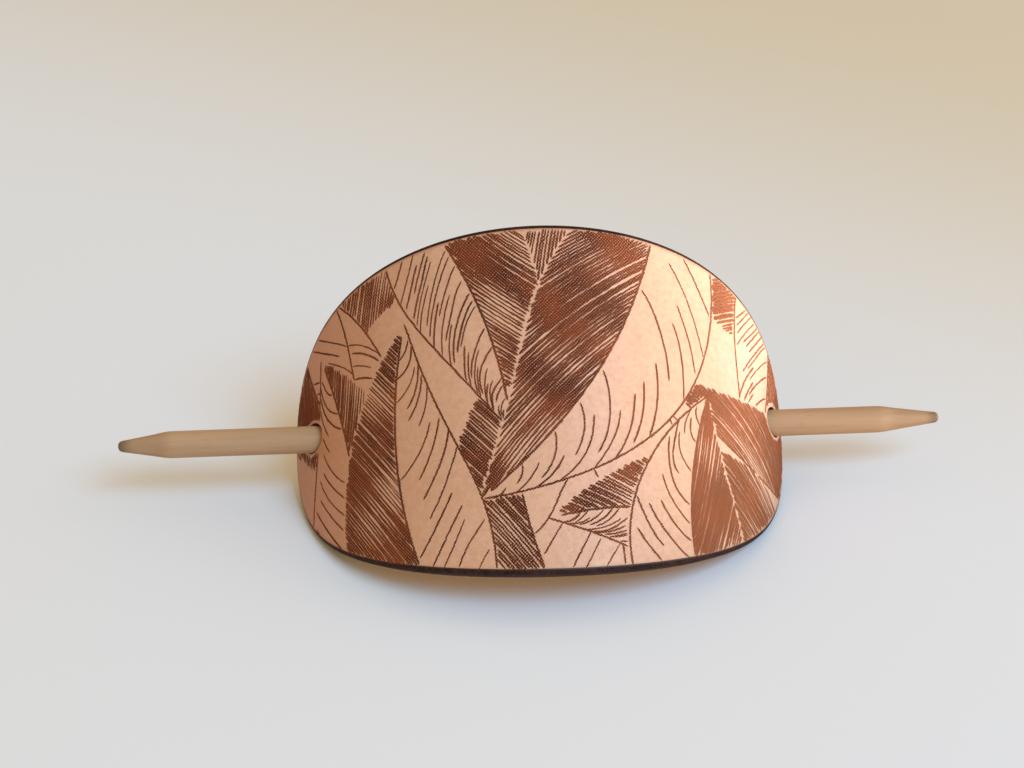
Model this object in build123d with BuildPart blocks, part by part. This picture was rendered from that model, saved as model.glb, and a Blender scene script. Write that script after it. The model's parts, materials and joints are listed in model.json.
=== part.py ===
from build123d import *
from math import cos, pi, radians, sin, tan
import os

# A hair slide: an oval of thick leather, bent over a round form, with a hole near each end
# and a pointed wooden stick through both holes. Sizes are in millimetres.
# X runs along the slide, +Y is away from its front rim, and Z is up from the table it lies on.

# Leather, as cut flat before it is bent
blank_length = 125.0
blank_width = 64.0
leather_thickness = 3.0
rim_round = 0.75
left_inset = 10.5  # from the left end of the flat oval to the middle of its hole
right_inset = 7.0  # from the right end to the middle of its hole

# Bend and rest
bend_radius = 47.0  # to the grain face
rest_tilt = 44.0  # degrees tipped forward from standing on both ends, where it balances

# Stick
stick_length = 152.4
stick_diameter = 5.0
left_point = 9.0
right_point = 11.0
point_end_diameter = 1.9
point_end_round = 0.75
shoulder_round = 12.0
stick_shift = 2.3  # middle of the stick, to the left of halfway between the holes
stick_rise = 1.1  # middle of the stick, towards the slide's rear rim
stick_skew = 1.2  # degrees off the slide's length, seen from above the crown

# Room for the stick in each hole
play_along = 0.2
play_across = 0.2

# Steps in a quarter of the rim's curve
rim_steps = 12


# Worked out from the sizes above
half_length = blank_length / 2
half_width = blank_width / 2
middle_radius = bend_radius - leather_thickness / 2
stick_radius = stick_diameter / 2
left_angle = (half_length - left_inset) / bend_radius
right_angle = (half_length - right_inset) / bend_radius
stick_dip = (right_angle - left_angle) / 2  # the stick's right end is lower by this angle
axis_to_stick = middle_radius * cos((left_angle + right_angle) / 2)
slant = pi / 2 - (left_angle + right_angle) / 2
slanted_reach = stick_radius / cos(slant) + leather_thickness / 2 * tan(slant)
hole_half_length = slanted_reach + play_along
hole_half_width = stick_radius + play_across


def across(along):
    """How far the stick lies towards the rear rim, some way right of halfway between the holes."""
    return stick_rise + (along + stick_shift) * tan(radians(stick_skew))


def rim_plan(turn):
    """A point of the bent oval seen from above its crown, for a turn around the flat oval."""
    along = half_length * cos(turn) / bend_radius
    return (bend_radius * sin(along), half_width * sin(turn))


def crown_plane(centre_y, height):
    """Plane that touches the top of the bend, tipped forward, with its origin at the crown."""
    tilt = radians(rest_tilt)
    centre_x = stick_shift * cos(stick_dip) - axis_to_stick * sin(stick_dip)
    middle = (centre_x, centre_y, height)
    return Plane(origin=middle, x_dir=(1, 0, 0), z_dir=(0, -sin(tilt), cos(tilt)))


def make_slide(crown):
    """The bent leather oval with both holes, under its crown plane."""
    axis = crown.offset(-bend_radius)
    with BuildPart() as form:
        with BuildSketch(Plane(axis.origin, x_dir=axis.x_dir, z_dir=-axis.y_dir)):
            Circle(bend_radius)
        extrude(amount=blank_width, both=True)
    with BuildPart() as quarter_blank:
        with BuildSketch(axis):
            with BuildLine():
                turns = [step * pi / 2 / rim_steps for step in range(rim_steps + 1)]
                Spline(*[rim_plan(turn) for turn in turns], tangents=[(0, 1), (-1, 0)])
                Line(rim_plan(pi / 2), (0, 0))
                Line((0, 0), rim_plan(0))
            make_face()
        extrude(amount=bend_radius + leather_thickness)
    bent_face = form.faces().filter_by(GeomType.CYLINDER)[0]
    grain_quarter = bent_face.intersect(quarter_blank.part).faces()[0]
    with BuildPart() as slide:
        thicken(grain_quarter, amount=-leather_thickness)
        mirror(about=Plane(axis.origin, z_dir=axis.x_dir))
        mirror(about=Plane(axis.origin, z_dir=axis.y_dir))
        fillet(slide.edges().filter_by(on_a_face), radius=rim_round)
        for turn in (-left_angle, right_angle):
            with BuildSketch(hole_plane(axis, turn)):
                Ellipse(hole_half_length, hole_half_width)
            extrude(amount=leather_thickness, both=True, mode=Mode.SUBTRACT)
    return slide


def on_a_face(edge):
    """Whether an edge runs along the rim, not across the leather's thickness."""
    return edge.length > 2 * leather_thickness


def hole_plane(axis, turn):
    """Plane square to the leather at a hole, halfway through its thickness."""
    out = axis.x_dir * sin(turn) + axis.z_dir * cos(turn)
    along = axis.x_dir * cos(turn) - axis.z_dir * sin(turn)
    rise = across(middle_radius * sin(turn - stick_dip))
    return Plane(axis.origin + out * middle_radius + axis.y_dir * rise, x_dir=along, z_dir=out)


# The slide is made once at the origin, to measure how it has to be placed to lie on the table,
# and once in that place.
reach = make_slide(crown_plane(0, 0)).part.bounding_box()
crown = crown_plane(-reach.center().Y, -reach.min.Z)
leather_slide = make_slide(crown)

# The stick lies behind the bend, on the line through the middles of both holes.
chord_way = crown.x_dir * cos(stick_dip) - crown.z_dir * sin(stick_dip)
chord_out = crown.x_dir * sin(stick_dip) + crown.z_dir * cos(stick_dip)
stick_middle = (
    crown.offset(-bend_radius).origin
    + chord_out * axis_to_stick
    - chord_way * stick_shift
    + crown.y_dir * stick_rise
)
stick_way = chord_way * cos(radians(stick_skew)) + crown.y_dir * sin(radians(stick_skew))
with BuildPart() as hair_stick:
    with BuildSketch(Plane(stick_middle, x_dir=stick_way, z_dir=chord_out)):
        with BuildLine():
            left_end = -stick_length / 2
            right_end = stick_length / 2
            tip_radius = point_end_diameter / 2
            FilletPolyline(
                (left_end, tip_radius),
                (left_end + left_point, stick_radius),
                (right_end - right_point, stick_radius),
                (right_end, tip_radius),
                radius=shoulder_round,
            )
            Line((right_end, tip_radius), (right_end, 0))
            Line((right_end, 0), (left_end, 0))
            Line((left_end, 0), (left_end, tip_radius))
        make_face()
    revolve(axis=Axis(stick_middle, stick_way))
    tips = hair_stick.edges().filter_by(GeomType.CIRCLE).sort_by(Axis.X)
    fillet([tips[0], tips[-1]], radius=point_end_round)

leather_slide.part.label = "leather_slide"
hair_stick.part.label = "hair_stick"

os.makedirs("parts", exist_ok=True)
export_step(leather_slide.part, "parts/leather_slide.step")
export_step(hair_stick.part, "parts/hair_stick.step")
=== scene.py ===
import json
import math
import random

import bmesh
import bpy
import numpy as np
from mathutils import Matrix, Vector
from mathutils.geometry import delaunay_2d_cdt


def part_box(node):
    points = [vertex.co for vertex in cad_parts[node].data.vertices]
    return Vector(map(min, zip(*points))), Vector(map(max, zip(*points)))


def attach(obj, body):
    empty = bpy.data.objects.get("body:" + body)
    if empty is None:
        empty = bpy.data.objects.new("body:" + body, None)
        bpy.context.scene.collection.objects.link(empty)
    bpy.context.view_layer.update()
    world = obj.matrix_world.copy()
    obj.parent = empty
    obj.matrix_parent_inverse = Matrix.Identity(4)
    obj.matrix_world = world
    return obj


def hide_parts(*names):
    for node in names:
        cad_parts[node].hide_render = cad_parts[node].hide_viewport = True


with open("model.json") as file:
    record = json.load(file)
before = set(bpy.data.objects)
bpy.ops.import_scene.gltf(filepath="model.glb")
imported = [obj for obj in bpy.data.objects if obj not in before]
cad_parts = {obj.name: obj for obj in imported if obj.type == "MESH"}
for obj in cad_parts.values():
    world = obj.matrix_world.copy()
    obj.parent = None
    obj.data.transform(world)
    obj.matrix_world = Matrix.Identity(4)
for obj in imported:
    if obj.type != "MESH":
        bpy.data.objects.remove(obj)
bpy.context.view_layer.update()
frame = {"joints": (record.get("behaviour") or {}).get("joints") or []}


# The slide is one oval of thick vegetable-tanned leather, wetted and bent over a round form.
# Its grain side is left natural under a thin wax, its edge is rounded, painted dark and burnished,
# its flesh side is bare, and one oval hole near each end takes the stick.
mm = 0.001
blank_length = 125.0 * mm
blank_width = 64.0 * mm
leather_thickness = 3.0 * mm
bend_radius = 47.0 * mm
rest_tilt = math.radians(44.0)
rim_round = 0.75 * mm
stick_radius = 2.5 * mm
play_along = 0.2 * mm
play_across = 0.2 * mm
hole_wear = 0.15 * mm

# Steps round the rim and the holes, and of the wall between the leather's two faces
rim_points = 288
hole_points = 72
round_steps = 5
wall_shares = (0.4, 0.5, 0.6)

# Points that fill each face, in rows that make nearly even triangles
fill_spacing = 1.5 * mm
fill_row_spacing = fill_spacing * 0.866
fill_margin = 0.9 * mm
fill_tolerance = 0.0001 * mm
within_rim = 1  # asks for the triangles inside the outermost loop
weld_distance = 0.002 * mm

# How far from the rim the grain side is burnished dark, and how far the edge paint laps over it
# at the front rim, which is further than elsewhere
burnished_full = 0.5 * mm
burnished_to = 1.45 * mm
paint_reach = 1.0 * mm
paint_fray = 0.12 * mm
front_extra = 0.3 * mm

# Shares across and along the flat oval over which the front rim and the left end's painted shade
# fade
front_fade = (-0.9, -0.5)
left_painted_shade_fade = (-0.95, -0.1)

half_length = blank_length / 2
half_width = blank_width / 2
middle_radius = bend_radius - leather_thickness / 2

stick_low, stick_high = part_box("hair_stick")
stick_middle = (stick_low + stick_high) / 2
stick_way = Vector(frame["joints"][0]["axis"]).normalized()
slide_low, slide_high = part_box("leather_slide")
tip_forward = Matrix.Rotation(rest_tilt, 4, "X")


def on_leather(angle, across, radius):
    """A place in the leather, from the crown: turn about the bend's axis, way across, radius."""
    return Vector((radius * math.sin(angle), across, radius * math.cos(angle) - bend_radius))


def rim_loop(inset, depth):
    """The flat oval's outline, moved in by an inset, at a depth under the grain side."""
    loop = []
    for step in range(rim_points):
        turn = 2 * math.pi * step / rim_points
        out = Vector((half_width * math.cos(turn), half_length * math.sin(turn))).normalized()
        along = half_length * math.cos(turn) - out.x * inset
        across = half_width * math.sin(turn) - out.y * inset
        loop.append((along / bend_radius, across, bend_radius - depth))
    return loop


def rounded_wall(corner):
    """Rows of inset and depth through the leather's thickness, round at both faces."""
    half = [
        (corner * (1 - math.sin(turn)), corner * (1 - math.cos(turn)))
        for turn in (step * math.pi / 2 / round_steps for step in range(round_steps + 1))
    ]
    middle = [(0.0, leather_thickness * share) for share in wall_shares]
    return half + middle + [(inset, leather_thickness - depth) for inset, depth in reversed(half)]


# The crown's place is where the outline comes to lie in the slide's box
outline = [
    tip_forward @ on_leather(*point) for row in rounded_wall(rim_round) for point in rim_loop(*row)
]
lowest = [min(point[axis] for point in outline) for axis in range(3)]
highest = [max(point[axis] for point in outline) for axis in range(3)]
crown_place = Vector((
    (slide_low.x + slide_high.x - lowest[0] - highest[0]) / 2,
    (slide_low.y + slide_high.y - lowest[1] - highest[1]) / 2,
    slide_low.z - lowest[2],
))
crown = Matrix.Translation(crown_place) @ tip_forward

# The holes lie where the stick's line crosses the middle of the leather, and each is as large as
# the stick needs to pass on the slant, with play
line_middle = crown.inverted() @ stick_middle
line_way = crown.to_3x3().inverted() @ stick_way
from_axis = Vector((line_middle.x, line_middle.z + bend_radius))
flat_way = Vector((line_way.x, line_way.z))
nearest = -from_axis.dot(flat_way) / flat_way.length_squared
half_chord = math.sqrt(middle_radius ** 2 - (from_axis + flat_way * nearest).length_squared)
holes = []
for side in (-1, 1):
    crossing = line_middle + line_way * (nearest + side * half_chord / flat_way.length)
    holes.append((math.atan2(crossing.x, crossing.z + bend_radius), crossing.y))
slant = math.pi / 2 - (holes[1][0] - holes[0][0]) / 2
hole_half_length = (
    stick_radius / math.cos(slant) + leather_thickness / 2 * math.tan(slant) + play_along
)
hole_half_width = stick_radius + play_across


def hole_loop(hole, grow, depth):
    """A hole's edge at a depth under the grain side, wider than the hole by grow."""
    hole_angle, hole_across = hole
    radius = bend_radius - depth
    loop = []
    for step in range(hole_points):
        turn = 2 * math.pi * step / hole_points
        along = (hole_half_length + grow) * math.cos(turn)
        across = (hole_half_width + grow) * math.sin(turn) + hole_across
        loop.append((hole_angle + math.asin(along / radius), across, radius))
    return loop


def in_a_hole(angle, across, radius, grow):
    """Whether a place on the leather lies in a hole that is wider by grow."""
    for hole_angle, hole_across in holes:
        along = radius * math.sin(angle - hole_angle) / (hole_half_length + grow)
        if along ** 2 + ((across - hole_across) / (hole_half_width + grow)) ** 2 < 1:
            return True
    return False


def face_triangles(rim, hole_rims, depth):
    """Triangles that fill one face of the leather between its rim and its holes."""
    radius = bend_radius - depth
    flat = []
    edges = []
    for loop in [rim] + hole_rims:
        start = len(flat)
        flat += [Vector((angle * radius, across)) for angle, across, _ in loop]
        edges += [(start + k, start + (k + 1) % len(loop)) for k in range(len(loop))]
    reach_along = half_length * radius / bend_radius - rim_round - fill_margin
    reach_across = half_width - rim_round - fill_margin
    rows = int(reach_across / fill_row_spacing) + 1
    columns = int(reach_along / fill_spacing) + 1
    for row in range(-rows, rows + 1):
        across = row * fill_row_spacing
        for column in range(-columns, columns + 1):
            along = (column + 0.5 * (row % 2)) * fill_spacing
            if (along / reach_along) ** 2 + (across / reach_across) ** 2 > 1:
                continue
            if not in_a_hole(along / radius, across, radius, hole_wear + fill_margin):
                flat.append(Vector((along, across)))
    points, _, faces = delaunay_2d_cdt(flat, edges, [], within_rim, fill_tolerance)[:3]
    kept = []
    for face in faces:
        middle = sum((points[k] for k in face), Vector((0, 0))) / len(face)
        if not in_a_hole(middle.x / radius, middle.y, radius, 0.0):
            kept.append(face)
    return [(point.x / radius, point.y, radius) for point in points], kept


# Places of the four finishes on the leather
on_grain, on_edge, on_flesh, on_hole_wall = range(4)


def leather_mesh():
    """The slide's closed surface, with a finish for each side, its edge and its holes."""
    mesh = bpy.data.meshes.new("leather")
    vertices = []
    faces = []
    finishes = []

    def add_wall(loops, outwards, finish):
        """Faces from each loop to the one under it, through the leather's thickness."""
        firsts = []
        for loop in loops:
            firsts.append(len(vertices))
            vertices.extend(loop)
        for above, below in zip(firsts, firsts[1:]):
            for k in range(len(loops[0])):
                after = (k + 1) % len(loops[0])
                quad = (above + k, below + k, below + after, above + after)
                faces.append(quad if outwards else quad[::-1])
                finishes.append(finish)

    add_wall([rim_loop(*row) for row in rounded_wall(rim_round)], True, on_edge)
    for hole in holes:
        add_wall([hole_loop(hole, *row) for row in rounded_wall(hole_wear)], False, on_hole_wall)
    for depth, finish in ((0.0, on_grain), (leather_thickness, on_flesh)):
        hole_rims = [hole_loop(hole, hole_wear, depth) for hole in holes]
        points, triangles = face_triangles(rim_loop(rim_round, depth), hole_rims, depth)
        first = len(vertices)
        vertices.extend(points)
        for triangle in triangles:
            turned = triangle if finish == on_grain else triangle[::-1]
            faces.append([first + k for k in turned])
            finishes.append(finish)
    mesh.from_pydata([crown @ on_leather(*vertex) for vertex in vertices], [], faces)
    mesh.polygons.foreach_set("material_index", finishes)
    mesh.polygons.foreach_set("use_smooth", [True] * len(faces))
    flat = mesh.uv_layers.new(name="flat")
    for polygon in mesh.polygons:
        for corner in polygon.loop_indices:
            angle, across, _ = vertices[mesh.loops[corner].vertex_index]
            flat.data[corner].uv = (angle * bend_radius / half_length, across / half_width)
    weld(mesh)
    return mesh


def weld(mesh):
    """Joins the vertices that fall on each other."""
    work = bmesh.new()
    work.from_mesh(mesh)
    bmesh.ops.remove_doubles(work, verts=work.verts, dist=weld_distance)
    work.to_mesh(mesh)
    work.free()


class Value:
    """A value in a node tree. Arithmetic on it adds Math nodes to that tree."""

    def __init__(self, tree, socket=None):
        self.tree = tree
        self.socket = socket

    def node(self, kind, settings=None, sockets=None, output=0):
        """One output of a new node, whose settings are set before its sockets."""
        made = self.tree.nodes.new(kind)
        for name, setting in (settings or {}).items():
            setattr(made, name, setting)
        for name, given in (sockets or {}).items():
            socket = find_socket(made.inputs, name)
            if isinstance(given, Value):
                self.tree.links.new(given.socket, socket)
            else:
                socket.default_value = given
        return Value(self.tree, find_socket(made.outputs, output))

    def math(self, operation, *numbers):
        """What a Math node makes of its numbers."""
        return self.node("ShaderNodeMath", {"operation": operation}, dict(enumerate(numbers)))

    def __add__(self, other):
        return self.math("ADD", self, other)

    def __radd__(self, other):
        return self.math("ADD", other, self)

    def __sub__(self, other):
        return self.math("SUBTRACT", self, other)

    def __rsub__(self, other):
        return self.math("SUBTRACT", other, self)

    def __mul__(self, other):
        return self.math("MULTIPLY", self, other)

    def __rmul__(self, other):
        return self.math("MULTIPLY", other, self)

    def __truediv__(self, other):
        return self.math("DIVIDE", self, other)

    def __pow__(self, other):
        return self.math("POWER", self, other)


def find_socket(sockets, name):
    """A node's socket, by its place, its identifier or its name."""
    if isinstance(name, int):
        return sockets[name]
    return next(socket for socket in sockets if name in (socket.identifier, socket.name))


def colour(red, green, blue):
    """A colour given as it looks on a screen, from 0 to 255."""
    linear = [
        ((share + 0.055) / 1.055) ** 2.4 if share > 0.04 else share / 12.92
        for share in (red / 255, green / 255, blue / 255)
    ]
    return linear + [1.0]


def new_finish(name, **constants):
    """A material, the start of its node tree, and the Principled shader that ends it."""
    made = bpy.data.materials.new(name)
    made.use_nodes = True
    shader = made.node_tree.nodes["Principled BSDF"]
    for socket, number in constants.items():
        shader.inputs[socket.replace("_", " ")].default_value = number
    return made, Value(made.node_tree), shader


def feed(shader, socket, value):
    """Links a value to one of a shader's sockets."""
    value.tree.links.new(value.socket, shader.inputs[socket])


def split(start, vector):
    """The X, Y and Z of a vector, each as a value."""
    parts = start.node("ShaderNodeSeparateXYZ", None, {0: vector}).socket.node
    return [Value(start.tree, parts.outputs[axis]) for axis in "XYZ"]


def blend_colours(start, factor, first, second):
    """Two colours mixed by a factor."""
    return start.node(
        "ShaderNodeMix",
        {"data_type": "RGBA"},
        {"Factor_Float": factor, "A_Color": first, "B_Color": second},
        "Result_Color",
    )


def noise(start, place, scale, detail=3.0, roughness=0.55, distortion=0.0):
    """Soft noise from 0 to 1, with a scale in waves to the metre."""
    return start.node(
        "ShaderNodeTexNoise",
        None,
        {
            "Vector": place,
            "Scale": scale,
            "Detail": detail,
            "Roughness": roughness,
            "Distortion": distortion,
        },
        "Fac",
    )


def cells(start, place, scale, feature="F1"):
    """Distance from a random cell's middle or edge, with a scale in cells to the metre."""
    return start.node(
        "ShaderNodeTexVoronoi", {"feature": feature}, {"Vector": place, "Scale": scale}, "Distance"
    )


def ramp(start, factor, low, high):
    """0 up to a low value of the factor, 1 from a high one, and smooth between them."""
    return start.node(
        "ShaderNodeMapRange",
        {"interpolation_type": "SMOOTHSTEP"},
        {"Value": factor, "From Min": low, "From Max": high},
    )


def bump(start, height, distance, strength=1.0):
    """The normal of a surface with a relief of this height."""
    return start.node(
        "ShaderNodeBump", None, {"Height": height, "Distance": distance, "Strength": strength}
    )


def grain_side():
    """Natural leather with pores, creases, painted shade at its left end and paint lapped over its
    front.
    """
    made, start, shader = new_finish("natural_grain", Specular_IOR_Level=0.5)
    place = start.node("ShaderNodeTexCoord", output="Object")
    cloud = noise(start, place, 38.0, 4.0, 0.6)
    fibre = noise(start, place, 900.0, 4.0, 0.6, 0.4)
    pores = 1 - ramp(start, cells(start, place, 1900.0), 0.08, 0.34)
    creases = 1 - ramp(start, cells(start, place, 620.0, "DISTANCE_TO_EDGE"), 0.0, 0.09)
    tan = blend_colours(start, cloud, colour(214, 158, 122), colour(228, 183, 150))
    tan = blend_colours(start, ramp(start, fibre, 0.35, 0.7) * 0.3, tan, colour(188, 128, 92))
    tan = blend_colours(start, pores * 0.2, tan, colour(166, 108, 76))

    # Shares along and across the flat oval, and from them how far a place is from its rim
    spread = start.node("ShaderNodeUVMap", {"uv_map": "flat"})
    along, across, _ = split(start, spread)
    reach = start.node("ShaderNodeVectorMath", {"operation": "LENGTH"}, {0: spread}, "Value")
    steepness = (along * along / half_length ** 2 + across * across / half_width ** 2) ** 0.5
    from_rim = (1 - reach) * reach / steepness

    # Painted shade: the left end, which faces away from the lights, is darkened to a deeper tan.
    left_painted_shade = 1 - ramp(start, along, *left_painted_shade_fade)
    tan = blend_colours(start, left_painted_shade * 0.7, tan, colour(172, 104, 68))
    burnished = 1 - ramp(start, from_rim, burnished_full, burnished_to)
    tan = blend_colours(start, burnished * 0.75, tan, colour(150, 82, 44))
    off_front = ramp(start, across, *front_fade) * front_extra
    frayed = from_rim + off_front + fibre * paint_fray
    lap = 1 - ramp(start, frayed, paint_reach, paint_reach + paint_fray)
    tan = blend_colours(start, lap, tan, colour(48, 26, 21))
    feed(shader, "Base Color", tan)
    feed(shader, "Roughness", 0.42 + fibre * 0.16 + pores * 0.1)
    feed(shader, "Normal", bump(start, fibre * 0.6 - pores * 0.5 - creases * 0.25, 0.03 * mm, 0.8))
    return made


def painted_edge():
    """Dark brown edge paint, rubbed to a low gloss over the cut fibres."""
    made, start, shader = new_finish("painted_edge", Specular_IOR_Level=0.12)
    place = start.node("ShaderNodeTexCoord", output="Object")
    cloud = noise(start, place, 420.0, 4.0)
    fibre = noise(start, place, 2600.0, 3.0)
    worn = ramp(start, cloud * 0.4 + fibre * 0.6, 0.38, 0.64)
    feed(shader, "Base Color", blend_colours(start, worn, colour(34, 17, 13), colour(68, 40, 33)))
    feed(shader, "Roughness", 0.46 + fibre * 0.3)
    feed(shader, "Normal", bump(start, fibre + cloud, 0.08 * mm, 0.8))
    return made


def flesh_side():
    """The bare flesh side: a yellower tan, with a short nap of matted fibres in clumps."""
    made, start, shader = new_finish("flesh_side", Specular_IOR_Level=0.2)
    place = start.node("ShaderNodeTexCoord", output="Object")
    cloud = noise(start, place, 60.0, 5.0, 0.6)
    nap = noise(start, place, 1000.0, 6.0, 0.75, 1.4)
    clumps = noise(start, place, 260.0, 5.0, 0.75, 2.6)
    tan = blend_colours(start, cloud, colour(206, 148, 104), colour(228, 178, 134))
    tan = blend_colours(start, ramp(start, clumps, 0.5, 0.72) * 0.45, tan, colour(240, 202, 160))
    tan = blend_colours(start, ramp(start, nap, 0.42, 0.66) * 0.5, tan, colour(162, 110, 74))
    feed(shader, "Base Color", tan)
    feed(shader, "Roughness", 0.8 + nap * 0.15)
    feed(shader, "Normal", bump(start, nap + clumps * 0.8 + cloud * 0.5, 0.2 * mm, 0.9))
    return made


def hole_wall():
    """The punched wall of a hole, coloured dark brown as painted shade inside the hole."""
    made, start, shader = new_finish("hole_wall", Specular_IOR_Level=0.3)
    place = start.node("ShaderNodeTexCoord", output="Object")
    fibre = noise(start, place, 1800.0, 5.0, 0.7)
    # Painted shade: these dark browns stand for the shade inside the hole.
    feed(shader, "Base Color", blend_colours(start, fibre, colour(84, 50, 34), colour(134, 88, 58)))
    feed(shader, "Roughness", 0.6 + fibre * 0.25)
    feed(shader, "Normal", bump(start, fibre, 0.08 * mm, 0.8))
    return made


leather = bpy.data.objects.new("bent_leather", leather_mesh())
bpy.context.scene.collection.objects.link(leather)
for finish in (grain_side(), painted_edge(), flesh_side(), hole_wall()):
    leather.data.materials.append(finish)
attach(leather, "slide")
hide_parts("leather_slide")


# The drawing is burnt into the grain side: leaves that overlap, each with one half shaded by close
# strokes and one half open, with thin veins. Each stroke is a shallow scorched trough, drawn on
# the flat oval; Geometry Nodes give it its section and the leather's bend.
bare_rim = 0.8 * mm
bare_hole = 0.3 * mm

# Half the width of each kind of stroke, how uneven it is, and the narrower stub at either end
outline_radius = 0.22 * mm
midrib_radius = 0.27 * mm
hatch_radius = 0.31 * mm
vein_radius = 0.19 * mm
hatch_radii = (0.82, 1.18)
vein_radii = (0.8, 1.2)
uneven_width = (0.88, 1.12)
stroke_end = 0.45

# Steps along a stroke, and how a hand strays from it
stroke_step = 0.6 * mm
fewest_points = 4
shortest_run = 3
hand_jitter = 0.02 * mm
hand_sway = 0.10 * mm
sway_waves = (2, 7)

# Soft patches of hard and light pressure: waves along and across the oval, each bent sideways by
# a longer one, with a finer wave on the slant, and how much they change a shading stroke's width
wave_along = 4.1 * mm
wave_across = 3.3 * mm
wave_shift = 2
bend_along = 7.9 * mm
bend_across = 6.3 * mm
along_bent = 1.3
across_bent = 1.7
fine_wave = 2.1 * mm
fine_share = 0.6
pressure_share = 1.3

# Strokes of a shaded half: how far apart they are, and how they lean, fan out and arch
hatch_pitch = 0.56 * mm
hatch_pitches = (0.8, 1.2)
hatch_points = 40
shaded_lean = math.radians(24)
shaded_fan = math.radians(10)
shaded_arch = 4.0

# Shape of every leaf: how far its belly lies towards its base, how blunt its ends are, and how far
# its midrib runs
belly_shift = 0.8
blunt_ends = 0.9
outline_points = 60
midrib_points = 80
midrib_end = 0.97

# Veins of an open half: where along the midrib they are, where across the half they start and end,
# and how they sweep towards the tip
first_vein = 0.04
last_vein = 0.93
vein_pitches = (0.75, 1.3)
at_midrib = 0.04
vein_starts = (at_midrib, at_midrib, 0.3, 0.5)
vein_ends = (0.55, 0.95)
outer_vein_ends = (0.93, 1.0)
vein_points = 16
vein_curve = 1.3
vein_sweep = 1.1
vein_limit = 0.985

# Each leaf, from the undermost: its base and its tip on the flat oval (along, across), half its
# width, how far its midrib bows to its left, which half is shaded (1 for the left, -1 for the
# right), and how far apart the veins of its open half are
leaf_rows = [
    ((-2, 46), (16, -6), 14, 5, -1, 1.6),
    ((-16, 46), (-46, 6), 14, -7, 1, 1.3),
    ((10, -52), (-4, 12), 15, 7, 1, 3.4),
    ((-78, 14), (-26, -6), 15, 7, -1, 3.4),
    ((80, 14), (16, 26), 15, -6, 1, 1.5),
    ((38, -46), (58, 10), 14, 6, 1, 1.4),
    ((-60, 38), (-32, -10), 14, -7, -1, 3.2),
    ((54, 42), (42, -14), 14, 6, 1, 1.5),
    ((-76, -22), (-18, -26), 13, -6, 1, 3.4),
    ((-30, 46), (-6, -6), 13, 5, 1, 1.3),
    ((80, -12), (20, 6), 14, 8, -1, 3.2),
    ((24, 46), (-12, -18), 17, 8, -1, 3.6),
    ((-42, -46), (-48, 14), 15, -7, -1, 3.4),
    ((64, -36), (0, -22), 14, -8, -1, 1.4),
    ((-12, -50), (-26, 16), 15, 8, 1, 3.4),
    ((34, -48), (32, 2), 13, 6, -1, 3.4),
]

draw = random.Random(7)


class Leaf:
    """A leaf on the flat oval, with places in it by shares along and across it."""

    def __init__(self, base, tip, width, bow, shaded, vein_pitch):
        self.base = np.array(base) * mm
        self.way = np.array(tip) * mm - self.base
        self.length = float(np.hypot(*self.way))
        self.left = np.array([-self.way[1], self.way[0]]) / self.length
        self.width = width * mm
        self.bow = bow * mm
        self.shaded = shaded
        self.vein_pitch = vein_pitch * mm

    def width_at(self, along):
        """Half the leaf's width at a share along the midrib."""
        return self.width * np.sin(math.pi * np.clip(along, 0, 1) ** belly_shift) ** blunt_ends

    def point(self, along, across):
        """Places at shares along the midrib, a parabola, and from -1 to 1 across the leaf."""
        tangent = self.way + np.outer(4 * (1 - 2 * along) * self.bow, self.left)
        normal = np.stack([-tangent[:, 1], tangent[:, 0]], 1) / np.hypot(*tangent.T)[:, None]
        midrib = self.base + np.outer(along, self.way)
        midrib += np.outer(4 * along * (1 - along) * self.bow, self.left)
        return midrib + normal * (self.width_at(along) * across)[:, None]

    def outline(self, left, right):
        """The closed loop round the part of the leaf between two shares across it."""
        along = np.linspace(0, 1, outline_points)
        there = self.point(along, along * 0 + left)
        return np.concatenate([there, self.point(along[::-1], along * 0 + right)])


def within(points, loop):
    """Which points lie inside a closed loop, with an odd number of its edges on one side."""
    x, y = points[:, :1], points[:, 1:]
    x0, y0 = loop[:, 0][None], loop[:, 1][None]
    x1, y1 = np.roll(loop[:, 0], -1)[None], np.roll(loop[:, 1], -1)[None]
    rise = np.where(y1 == y0, 1.0, y1 - y0)
    crosses = ((y0 > y) != (y1 > y)) & (x < (x1 - x0) * (y - y0) / rise + x0)
    return crosses.sum(1) % 2 == 1


def pressure(points):
    """How hard the strokes are burnt, from 0 to 1, in soft patches over the oval."""
    x, y = points.T
    along = np.sin(x / wave_along + along_bent * np.sin(y / bend_across))
    across = np.sin(y / wave_across + across_bent * np.sin(x / bend_along) + wave_shift)
    fine = fine_share * np.sin((x + y) / fine_wave)
    return 0.5 + (along + across + fine) / (2 * (2 + fine_share))


def hole_outline(hole):
    """A hole's edge on the flat oval, with bare leather round it."""
    loop = hole_loop(hole, hole_wear + bare_hole, 0.0)
    return np.array([(angle * bend_radius, across) for angle, across, _ in loop])


strokes = []
hole_edges = [hole_outline(hole) for hole in holes]


def keep_visible(points, radii, covers, inside):
    """Adds the runs of a stroke that lie off the rim, inside a loop and under no cover."""
    reach = np.array([half_length - bare_rim, half_width - bare_rim])
    shows = ((points / reach) ** 2).sum(1) < 1
    if inside is not None:
        shows &= within(points, inside)
    for cover in covers:
        shows &= ~within(points, cover)
    run = []
    for point, radius, show in list(zip(points, radii, shows)) + [(None, 0, False)]:
        if show:
            run.append((point, radius))
            continue
        if len(run) >= shortest_run:
            run[0] = (run[0][0], run[0][1] * stroke_end)
            run[-1] = (run[-1][0], run[-1][1] * stroke_end)
            strokes.append(run)
        run = []


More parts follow.
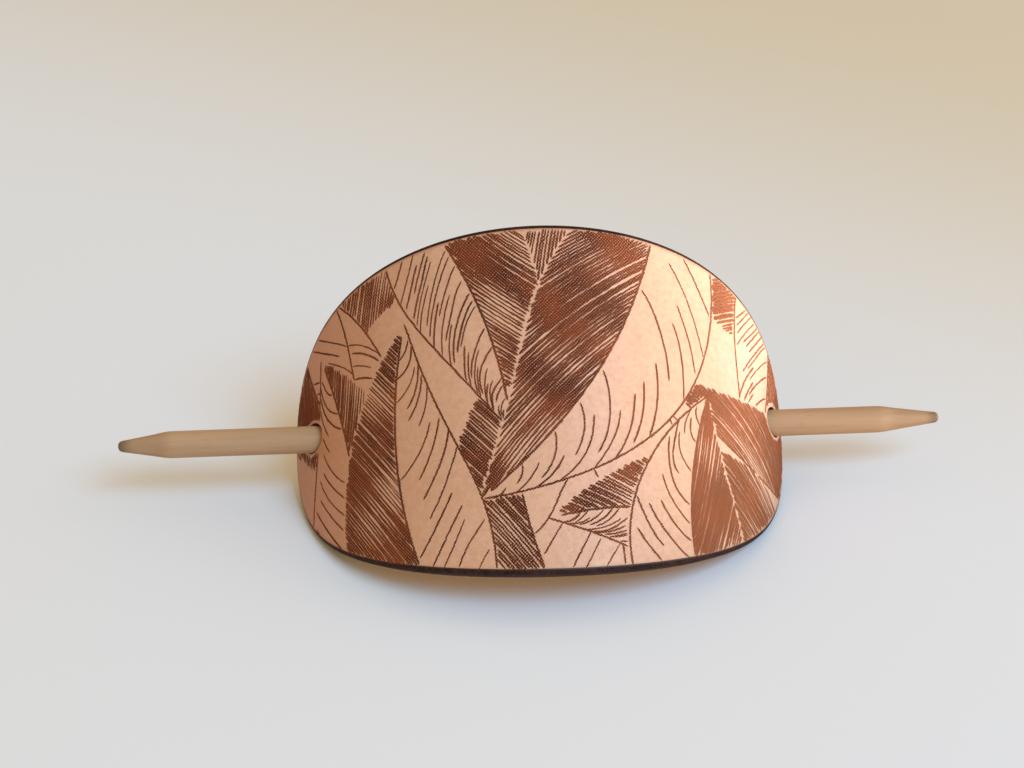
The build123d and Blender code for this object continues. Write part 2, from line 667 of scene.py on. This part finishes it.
def unsteady(points):
    """A stroke's points, swayed and jittered as by a hand."""
    reach = np.linspace(0, 1, len(points))
    sway = [
        draw.gauss(0, hand_sway)
        * np.sin(reach * draw.uniform(*sway_waves) + draw.uniform(0, 2 * math.pi))
        for _ in range(2)
    ]
    jitter = np.array([[draw.gauss(0, hand_jitter), draw.gauss(0, hand_jitter)] for _ in points])
    return points + np.stack(sway, 1) + jitter


def draw_stroke(rough, radius, covers, inside=None, patchiness=0.0):
    """A stroke along rough points, in even steps, wider where it is pressed harder."""
    count = max(fewest_points, int(np.hypot(*np.diff(rough, axis=0).T).sum() / stroke_step))
    even = np.linspace(0, len(rough) - 1, count)
    index = np.arange(len(rough))
    points = np.stack([np.interp(even, index, rough[:, axis]) for axis in (0, 1)], 1)
    radii = radius * (1 + patchiness * (pressure(points) - 0.5))
    radii = radii * np.array([draw.uniform(*uneven_width) for _ in range(count)])
    keep_visible(unsteady(points), radii, covers, inside)


def shade_half(leaf, covers):
    """Close, nearly parallel strokes over the shaded half of a leaf."""
    half = leaf.outline(0, leaf.shaded)
    lean = shaded_lean * leaf.shaded
    stroke_way = leaf.way * math.cos(lean) + leaf.left * leaf.length * math.sin(lean)
    stroke_way = stroke_way / leaf.length
    across_way = np.array([-stroke_way[1], stroke_way[0]])
    offsets = (half - leaf.base) @ across_way
    lengths = (half - leaf.base) @ stroke_way
    along = np.linspace(lengths.min(), lengths.max(), hatch_points)
    from_middle = along - (lengths.min() + lengths.max()) / 2
    offset = offsets.min()
    while offset < offsets.max():
        share = (offset - offsets.min()) / (offsets.max() - offsets.min())
        shift = from_middle * math.tan(shaded_fan * (share - 0.5)) + from_middle ** 2 * shaded_arch
        line = leaf.base + np.outer(along, stroke_way) + np.outer(offset + shift, across_way)
        radius = hatch_radius * draw.uniform(*hatch_radii)
        draw_stroke(line, radius, covers, half, pressure_share)
        offset += hatch_pitch * draw.uniform(*hatch_pitches)


def vein_half(leaf, covers):
    """A few thin veins over the open half of a leaf, some of them away from its midrib."""
    start = first_vein
    while start < last_vein:
        inner = draw.choice(vein_starts)
        outer = draw.uniform(*(outer_vein_ends if inner > at_midrib else vein_ends))
        across = np.linspace(inner, outer, vein_points)
        along = start + across ** vein_curve * leaf.width_at(start) * vein_sweep / leaf.length
        kept = along < vein_limit
        if kept.sum() >= fewest_points:
            vein = leaf.point(along[kept], across[kept] * -leaf.shaded)
            draw_stroke(vein, vein_radius * draw.uniform(*vein_radii), covers)
        start += leaf.vein_pitch / leaf.length * draw.uniform(*vein_pitches)


leaves = [Leaf(*row) for row in leaf_rows]
leaf_outlines = [leaf.outline(1, -1) for leaf in leaves]
for number, leaf in enumerate(leaves):
    covers = leaf_outlines[number + 1:] + hole_edges
    whole = np.linspace(0, 1, midrib_points)
    draw_stroke(leaf.point(whole, whole * 0 - leaf.shaded), outline_radius, covers)
    draw_stroke(leaf.point(whole * midrib_end, whole * 0), midrib_radius, covers)
    shade_half(leaf, covers)
    vein_half(leaf, covers)


def stroke_curves():
    """The strokes as flat curves, with half their width as the radius of each point."""
    curves = bpy.data.curves.new("strokes", "CURVE")
    curves.dimensions = "3D"
    for run in strokes:
        spline = curves.splines.new("POLY")
        spline.points.add(len(run) - 1)
        for point, (place, radius) in zip(spline.points, run):
            point.co = (place[0], place[1], 0.0, 1.0)
            point.radius = radius
    return curves


# How far a stroke is lifted off the leather, and its section in shares of half its width: its lips
# and floor stand proud of the leather, and its keel sinks into it
stroke_lift = 0.02 * mm
lip_height = 0.12
floor_height = 0.02
keel_depth = 0.35


def engraving_tree():
    """Gives each curve the section of a scorched trough, then the leather's bend and place."""
    tree = bpy.data.node_groups.new("burn_strokes", "GeometryNodeTree")
    interface = tree.interface
    interface.new_socket("Strokes", in_out="INPUT", socket_type="NodeSocketGeometry")
    names = {}
    for name, kind in (
        ("Bend Radius", "NodeSocketFloat"),
        ("Lift", "NodeSocketFloat"),
        ("Tilt", "NodeSocketFloat"),
        ("Crown", "NodeSocketVector"),
        ("Finish", "NodeSocketMaterial"),
    ):
        names[name] = interface.new_socket(name, in_out="INPUT", socket_type=kind).identifier
    interface.new_socket("Engraving", in_out="OUTPUT", socket_type="NodeSocketGeometry")
    start = Value(tree)
    given = tree.nodes.new("NodeGroupInput")
    inputs = {socket.name: Value(tree, socket) for socket in given.outputs if socket.name}
    flat = start.node("GeometryNodeSetCurveNormal", {"mode": "Z_UP"}, {"Curve": inputs["Strokes"]})
    trough = start.node(
        "GeometryNodeCurvePrimitiveQuadrilateral",
        {"mode": "POINTS"},
        {
            "Point 1": (-1, -lip_height, 0),
            "Point 2": (0, -floor_height, 0),
            "Point 3": (1, -lip_height, 0),
            "Point 4": (0, keel_depth, 0),
        },
    )
    place = start.node("GeometryNodeInputPosition")
    along, across, lift = split(start, place)
    section = start.node(
        "GeometryNodeStoreNamedAttribute",
        {"data_type": "FLOAT", "domain": "POINT"},
        {"Geometry": trough, "Name": "off_middle", "Value": along.math("ABSOLUTE", along)},
    )
    width = start.node("GeometryNodeInputRadius")
    ribbons = start.node(
        "GeometryNodeCurveToMesh",
        None,
        {"Curve": flat, "Profile Curve": section, "Scale": width, "Fill Caps": True},
    )
    marked = start.node(
        "GeometryNodeStoreNamedAttribute",
        {"data_type": "FLOAT_VECTOR", "domain": "POINT"},
        {"Geometry": ribbons, "Name": "flat_place", "Value": place},
    )
    angle = along / inputs["Bend Radius"]
    radius = inputs["Bend Radius"] + inputs["Lift"] + lift
    bent = start.node(
        "ShaderNodeCombineXYZ",
        None,
        {
            "X": radius * angle.math("SINE", angle),
            "Y": across,
            "Z": radius * angle.math("COSINE", angle) - inputs["Bend Radius"],
        },
    )
    curved = start.node("GeometryNodeSetPosition", None, {"Geometry": marked, "Position": bent})
    turn = start.node("ShaderNodeCombineXYZ", None, {"X": inputs["Tilt"]})
    laid = start.node(
        "GeometryNodeTransform",
        None,
        {"Geometry": curved, "Translation": inputs["Crown"], "Rotation": turn},
    )
    crisp = start.node(
        "GeometryNodeSetShadeSmooth", None, {"Geometry": laid, "Shade Smooth": False}
    )
    single = start.node("GeometryNodeRealizeInstances", None, {"Geometry": crisp})
    done = start.node(
        "GeometryNodeSetMaterial", None, {"Geometry": single, "Material": inputs["Finish"]}
    )
    end = tree.nodes.new("NodeGroupOutput")
    tree.links.new(done.socket, end.inputs["Engraving"])
    return tree, names


# Rows of burnt dots within a stroke and how far they wander, and how far right of the middle the
# char is palest, as painted light from the right
raster_pitch = 0.6 * mm
raster_wobble = 8.0
painted_right_light_at = 50 * mm


def scorched_leather():
    """Charred leather in rows of fine dots, ragged at a stroke's sides and paler to the right as
    painted light.
    """
    made, start, shader = new_finish("scorched_leather", Specular_IOR_Level=0.12)
    place = start.node("ShaderNodeAttribute", {"attribute_name": "flat_place"}, output="Vector")
    off_middle = start.node("ShaderNodeAttribute", {"attribute_name": "off_middle"}, output="Fac")
    along, across, _ = split(start, place)
    cloud = noise(start, place, 90.0, 3.0)
    fibre = noise(start, place, 4200.0, 1.0)
    wobble = noise(start, place, 420.0, 2.0) * raster_wobble
    waves = 2 * math.pi / raster_pitch
    columns = along.math("SINE", along * waves + wobble)
    rows = across.math("SINE", across * waves - wobble)
    dots = fibre * 0.6 + columns * rows * 0.42 + 0.2
    char = blend_colours(
        start, ramp(start, cloud, 0.35, 0.65), colour(72, 28, 11), colour(116, 51, 22)
    )
    # Painted light: the char is paled towards the right, where the leather lies in bright light.
    painted_right_light = ramp(start, along, 0.0, painted_right_light_at)
    char = blend_colours(start, painted_right_light * 0.45, char, colour(186, 112, 70))
    between_dots = 1 - ramp(start, dots, 0.08, 0.42)
    char = blend_colours(start, between_dots * 0.75, char, colour(206, 138, 100))
    feed(shader, "Base Color", char)
    feed(shader, "Roughness", 0.9 - dots * 0.2)
    feed(shader, "Normal", bump(start, 1 - dots, 0.04 * mm, 0.7))
    feed(shader, "Alpha", ramp(start, 1 - off_middle + (dots - 0.5) * 0.8, 0.15, 0.3))
    return made


def make_mesh(source, name):
    """The evaluated object as a plain mesh in an object of its own; the source is removed."""
    evaluated = source.evaluated_get(bpy.context.evaluated_depsgraph_get())
    mesh = bpy.data.meshes.new_from_object(evaluated)
    made = bpy.data.objects.new(name, mesh)
    bpy.context.scene.collection.objects.link(made)
    bpy.data.objects.remove(source)
    return made


drawn = bpy.data.objects.new("drawn_strokes", stroke_curves())
bpy.context.scene.collection.objects.link(drawn)
burn, burn_inputs = engraving_tree()
burner = drawn.modifiers.new("burn", "NODES")
burner.node_group = burn
burner[burn_inputs["Bend Radius"]] = bend_radius
burner[burn_inputs["Lift"]] = stroke_lift
burner[burn_inputs["Tilt"]] = rest_tilt
burner[burn_inputs["Crown"]] = crown_place
burner[burn_inputs["Finish"]] = scorched_leather()
engraving = make_mesh(drawn, "engraved_leaves")
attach(engraving, "slide")


# The stick is turned from pale birch dowel and left unfinished, with a short blunt point cut at
# each end. It goes in at one hole, behind the bend, and out at the other, and slides in both.
stick_length = 152.4 * mm
left_point = 9.0 * mm
right_point = 11.0 * mm
tip_radius = 0.95 * mm
tip_round = 0.75 * mm
shoulder_blend = 1.2 * mm

# Steps round the stick and along it: the first few round a tip, then along its point, then between
stick_sides = 72
tip_steps = [0.0, 0.04 * mm, 0.12 * mm, 0.25 * mm]
point_start = 0.45 * mm
point_step = 0.3 * mm
body_step = 1.5 * mm

# Flat cuts round each point: how many, how far they are turned, and how flat and how soon
cut_faces = 7
left_cut_turn = 0.3
right_cut_turn = 0.9
cut_flatness = 0.6
cut_onset = 3

# Fine fibres along the stick: waves round it that drift slowly along it
fibre_relief = 0.02 * mm
fibre_count = 9
fibre_waves = (5, 34)
fibre_drift = 9
drift_length = 40 * mm

# How far from a tip its point is darkened, and how far the tip is darker still: both painted shade
point_shade_from = 10.5 * mm
point_shade_full = 7.5 * mm
tip_shade_reach = 3.2 * mm


def stick_radius_at(distance, point_length):
    """The stick's radius at a distance from a tip."""
    slope = (stick_radius - tip_radius) / point_length
    gap = max(shoulder_blend - abs(distance - point_length), 0.0) / shoulder_blend
    radius = min(tip_radius + slope * distance, stick_radius)
    radius -= slope * shoulder_blend * gap ** 2 / 4
    if distance < tip_round:
        radius -= tip_round - math.sqrt(tip_round ** 2 - (tip_round - distance) ** 2)
    return radius


def point_stations(point_length):
    """Distances from a tip, close together round it and along its point."""
    along_point = np.arange(point_start, point_length + 2 * shoulder_blend, point_step)
    return tip_steps + list(along_point)


def stick_stations():
    """Distances from the left tip: close together along the points, wide apart between them."""
    left = point_stations(left_point)
    right = point_stations(right_point)
    middle = np.arange(left[-1] + body_step, stick_length - right[-1] - body_step / 2, body_step)
    return left + list(middle) + [stick_length - distance for distance in reversed(right)]


def stick_ring(distance, fibres):
    """The places round the stick at a distance from its left tip."""
    side = stick_way.cross(Vector((0, 0, 1))).normalized()
    up = side.cross(stick_way)
    centre = stick_middle + stick_way * (distance - stick_length / 2)
    from_tip, point_length, cut_turn = distance, left_point, left_cut_turn
    if distance >= stick_length / 2:
        from_tip, point_length, cut_turn = stick_length - distance, right_point, right_cut_turn
    radius = stick_radius_at(from_tip, point_length)
    flatness = min(1.0, cut_onset * max(0.0, 1 - from_tip / point_length)) * cut_flatness
    ring = []
    for step in range(stick_sides):
        turn = 2 * math.pi * step / stick_sides
        facet = (turn + cut_turn) % (2 * math.pi / cut_faces) - math.pi / cut_faces
        cut_away = flatness * (1 - math.cos(math.pi / cut_faces) / math.cos(facet))
        relief = sum(
            math.sin(waves * turn + shift + drift * distance / drift_length)
            for waves, shift, drift in fibres
        )
        reach = radius * (1 - cut_away)
        reach -= fibre_relief * (0.5 + relief / fibre_count) * min(1.0, radius / tip_radius)
        ring.append(centre + (side * math.cos(turn) + up * math.sin(turn)) * reach)
    return ring


def stick_mesh():
    """The stick's closed surface, with flat cuts round its points and fine fibres along it."""
    fibre_draw = random.Random(3)
    fibres = [
        (
            fibre_draw.randint(*fibre_waves),
            fibre_draw.uniform(0, 2 * math.pi),
            fibre_draw.uniform(-fibre_drift, fibre_drift),
        )
        for _ in range(fibre_count)
    ]
    rings = [stick_ring(distance, fibres) for distance in stick_stations()]
    faces = []
    for here in range(0, (len(rings) - 1) * stick_sides, stick_sides):
        there = here + stick_sides
        for step in range(stick_sides):
            after = (step + 1) % stick_sides
            faces.append((here + step, there + step, there + after, here + after))
    last = (len(rings) - 1) * stick_sides
    faces.append(list(range(stick_sides)))
    faces.append(list(range(last, last + stick_sides))[::-1])
    mesh = bpy.data.meshes.new("stick")
    mesh.from_pydata([place for ring in rings for place in ring], [], faces)
    mesh.polygons.foreach_set("use_smooth", [True] * (len(faces) - 2) + [False, False])
    return mesh


def drawn_out(start, place, share):
    """A place for a pattern that is drawn out along X, to 1 / share of its length."""
    return start.node(
        "ShaderNodeVectorMath", {"operation": "MULTIPLY"}, {0: place, 1: (share, 1.0, 1.0)}
    )


def pale_birch():
    """Bare birch: fine lengthwise grain, short brown flecks, and painted shade on the points and
    tips.
    """
    made, start, shader = new_finish("pale_birch", Specular_IOR_Level=0.35)
    place = start.node("ShaderNodeTexCoord", output="Object")
    lengthwise = start.node(
        "ShaderNodeMapping",
        {"vector_type": "TEXTURE"},
        {"Vector": place, "Rotation": stick_way.to_track_quat("X", "Z").to_euler()},
    )
    grain_place = drawn_out(start, lengthwise, 0.04)
    grain = noise(start, grain_place, 900.0, 5.0, 0.65)
    bands = noise(start, grain_place, 260.0, 2.0, 0.5)
    flecks = 1 - ramp(start, cells(start, drawn_out(start, lengthwise, 0.12), 1500.0), 0.05, 0.2)
    wood = blend_colours(start, bands, colour(178, 137, 99), colour(197, 160, 123))
    wood = blend_colours(start, ramp(start, grain, 0.4, 0.7) * 0.4, wood, colour(168, 128, 92))
    wood = blend_colours(start, flecks * 0.35, wood, colour(150, 108, 76))
    along, _, _ = split(start, place)
    from_middle = along.math("ABSOLUTE", along)
    tip = stick_length / 2
    # Painted shade: the sloping points are darkened as they lie in shade.
    point_shade = ramp(start, from_middle, tip - point_shade_from, tip - point_shade_full)
    wood = blend_colours(start, point_shade * 0.35, wood, colour(146, 110, 80))
    # Painted shade: darkest at the very tips.
    tip_shade = ramp(start, from_middle, tip - tip_shade_reach, tip)
    wood = blend_colours(start, tip_shade * 0.75, wood, colour(92, 70, 50))
    feed(shader, "Base Color", wood)
    feed(shader, "Roughness", 0.5 + grain * 0.25)
    feed(shader, "Normal", bump(start, grain - flecks * 0.5, 0.05 * mm, 0.6))
    return made


stick = bpy.data.objects.new("birch_stick", stick_mesh())
bpy.context.scene.collection.objects.link(stick)
stick.data.materials.append(pale_birch())
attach(stick, "stick")
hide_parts("hair_stick")


# The slide lies on a plain pale table, in a warm dim room. A cool window at the front right throws
# the stick's soft shadow, and a wall and the lit table at the right brighten that side of the
# leather.
table_reach = 3.0
table_corners = ((-1, -1), (1, -1), (1, 1), (-1, 1))

# Its top turns warmer between two distances towards the back and, by a share, the right, as painted
# warm light
warm_from = 40 * mm
warm_to = 320 * mm
warm_slant = 0.8

table_mesh = bpy.data.meshes.new("table")
table_mesh.from_pydata(
    [Vector((x * table_reach, y * table_reach, 0)) for x, y in table_corners], [], [(0, 1, 2, 3)]
)
table = bpy.data.objects.new("table", table_mesh)
bpy.context.scene.collection.objects.link(table)


def pale_table():
    """A pale matt top, cooler in front and warmer towards the back right with painted warm light.
    """
    made, start, shader = new_finish("pale_table", Roughness=0.85, Specular_IOR_Level=0.2)
    along, back, _ = split(start, start.node("ShaderNodeTexCoord", output="Object"))
    # Painted light: a warm glow towards the back right, as from the lit side of the room.
    painted_warm_light = ramp(start, back + along * warm_slant, warm_from, warm_to)
    top = blend_colours(start, painted_warm_light, colour(236, 238, 241), colour(224, 211, 186))
    feed(shader, "Base Color", top)
    return made


table.data.materials.append(pale_table())


def soft_light(name, place, aim, size, power, tint):
    """A rectangular light at a place, which faces the point it is aimed at."""
    lamp = bpy.data.lights.new(name, "AREA")
    lamp.shape = "RECTANGLE"
    lamp.size, lamp.size_y = size
    lamp.energy = power
    lamp.color = tint[:3]
    made = bpy.data.objects.new(name, lamp)
    bpy.context.scene.collection.objects.link(made)
    made.location = place
    made.rotation_euler = (Vector(aim) - Vector(place)).to_track_quat("-Z", "Y").to_euler()
    made.visible_camera = False


soft_light(
    "window",
    place=(1.20, -1.68, 2.17),
    aim=crown_place,
    size=(1.7, 1.3),
    power=66.7,
    tint=colour(160, 211, 255),
)
soft_light(
    "right_wall",
    place=(0.66, 0.0, 0.48),
    aim=crown_place,
    size=(0.50, 0.40),
    power=0.85,
    tint=colour(246, 238, 255),
)
soft_light(
    "floor_glow",
    place=(0.24, -0.06, 0.002),
    aim=(0.24, -0.06, 0.1),
    size=(0.18, 0.34),
    power=6.8,
    tint=colour(250, 240, 236),
)

room_tint = colour(255, 223, 170)
room_strength = 0.626
world = bpy.data.worlds.new("room")
world.use_nodes = True
room = world.node_tree.nodes["Background"]
room.inputs["Color"].default_value = room_tint
room.inputs["Strength"].default_value = room_strength
bpy.context.scene.world = world
bpy.context.scene.view_settings.view_transform = "Standard"


# The camera looks down on the slide from the front, a little from its left, with a long lens.
# Its place and turns are measured from the crown of the bend, tipped forward with the slide.
focal_pixels = 3000.0
picture_width = 1024.0
sensor_width = 36.0
nearest_seen = 10 * mm
camera_distance = 528.6 * mm
camera_pitch = math.radians(15.79)
camera_yaw = math.radians(-1.62)
camera_roll = math.radians(-1.87)
aim_along = 5.868 * mm
aim_across = -2.182 * mm

turned = (
    Matrix.Rotation(camera_yaw, 3, "Y")
    @ Matrix.Rotation(camera_pitch, 3, "X")
    @ Matrix.Rotation(camera_roll, 3, "Z")
)
right, up, back = turned.col[0], turned.col[1], turned.col[2]
standing = crown @ (back * camera_distance - right * aim_along - up * aim_across)
lens = bpy.data.cameras.new("camera")
lens.sensor_width = sensor_width
lens.lens = focal_pixels * sensor_width / picture_width
lens.clip_start = nearest_seen
camera = bpy.data.objects.new("camera", lens)
bpy.context.scene.collection.objects.link(camera)
camera.matrix_world = Matrix.Translation(standing) @ (tip_forward @ turned.to_4x4())
bpy.context.scene.camera = camera

bpy.context.view_layer.update()
